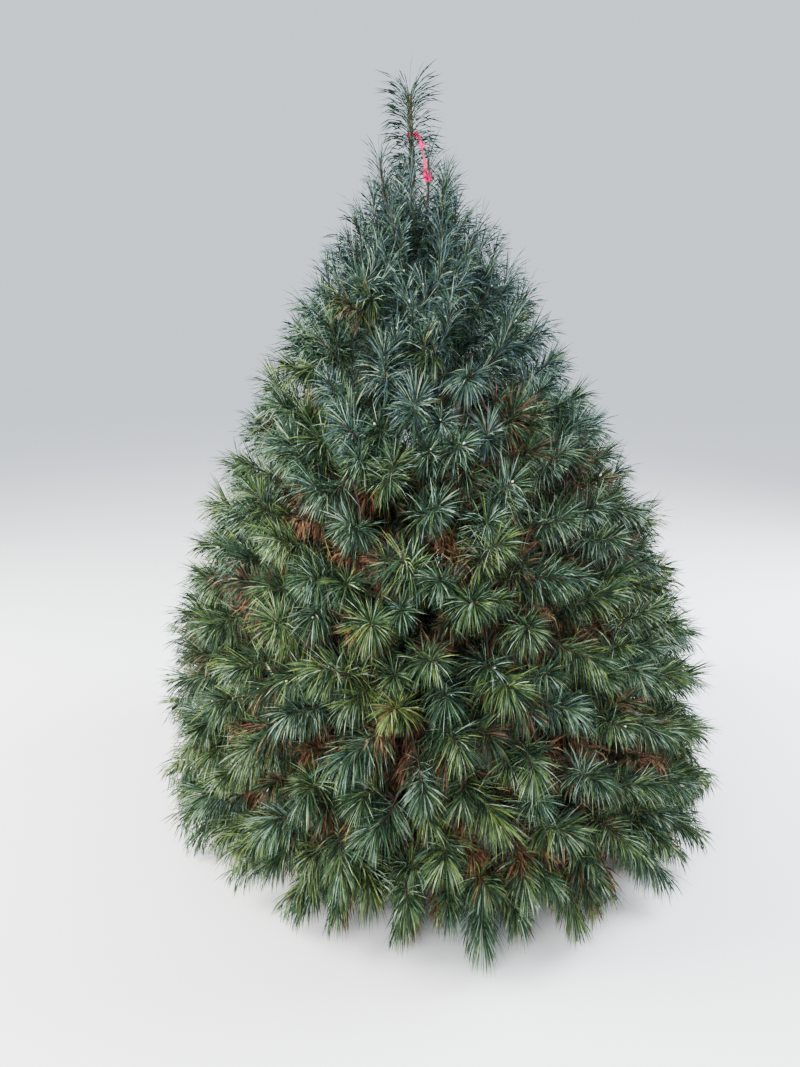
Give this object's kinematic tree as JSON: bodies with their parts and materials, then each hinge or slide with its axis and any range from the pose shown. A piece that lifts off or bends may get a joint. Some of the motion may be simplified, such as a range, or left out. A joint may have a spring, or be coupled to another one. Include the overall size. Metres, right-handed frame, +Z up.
{
  "type": "pine tree",
  "caption": "Young long-needled white pine sheared to a broad cone, with a straight trunk, yearly whorls of boughs and masses of needle tufts, rooted in level ground.",
  "frame": {"origin": "middle of the flat cut under the trunk, at ground level", "axes": "+Z straight up, -Z into the ground; the picture looks along +Y, with +X to its right"},
  "size_m": [1.8797, 1.8567, 2.3514],
  "materials": {
    "bark": "rough grey-brown bark",
    "young_bark": "smooth reddish-brown young bark",
    "needles": "soft blue-green needles with a slight sheen",
    "dead_needles": "dry red-brown needles",
    "resin": "dried whitish resin on cut tips",
    "flagging": "thin bright pink film"
  },
  "bodies": {
    "root": {"trunk": "bark", "bough_w1_1": "young_bark", "bough_w1_2": "young_bark", "bough_w1_3": "young_bark", "bough_w1_4": "young_bark", "bough_w1_5": "young_bark", "bough_w1_6": "young_bark", "bough_w2_1": "young_bark", "bough_w2_2": "young_bark", "bough_w2_3": "young_bark", "bough_w2_4": "young_bark", "bough_w2_5": "young_bark", "bough_w2_6": "young_bark", "bough_w3_1": "young_bark", "bough_w3_2": "young_bark", "bough_w3_3": "young_bark", "bough_w3_4": "young_bark", "bough_w3_5": "young_bark", "bough_w4_1": "young_bark", "bough_w4_2": "young_bark", "bough_w4_3": "young_bark", "bough_w4_4": "young_bark", "bough_w5_1": "young_bark", "bough_w5_2": "young_bark", "bough_w5_3": "young_bark", "bough_w5_4": "young_bark", "foliage_w1_1": "needles", "foliage_w1_2": "needles", "foliage_w1_3": "needles", "foliage_w1_4": "needles", "foliage_w1_5": "needles", "foliage_w1_6": "needles", "foliage_w2_1": "needles", "foliage_w2_2": "needles", "foliage_w2_3": "needles", "foliage_w2_4": "needles", "foliage_w2_5": "needles", "foliage_w2_6": "needles", "foliage_w3_1": "needles", "foliage_w3_2": "needles", "foliage_w3_3": "needles", "foliage_w3_4": "needles", "foliage_w3_5": "needles", "foliage_w4_1": "needles", "foliage_w4_2": "needles", "foliage_w4_3": "needles", "foliage_w4_4": "needles", "foliage_w5_1": "needles", "foliage_w5_2": "needles", "foliage_w5_3": "needles", "foliage_w5_4": "needles", "foliage_w6_1": "needles", "foliage_w6_2": "needles", "foliage_w6_3": "needles", "foliage_w6_4": "needles", "foliage_w7_1": "needles", "foliage_w7_2": "needles", "foliage_w7_3": "needles", "foliage_w7_4": "needles", "foliage_leader": "needles"}
  },
  "joints": []
}
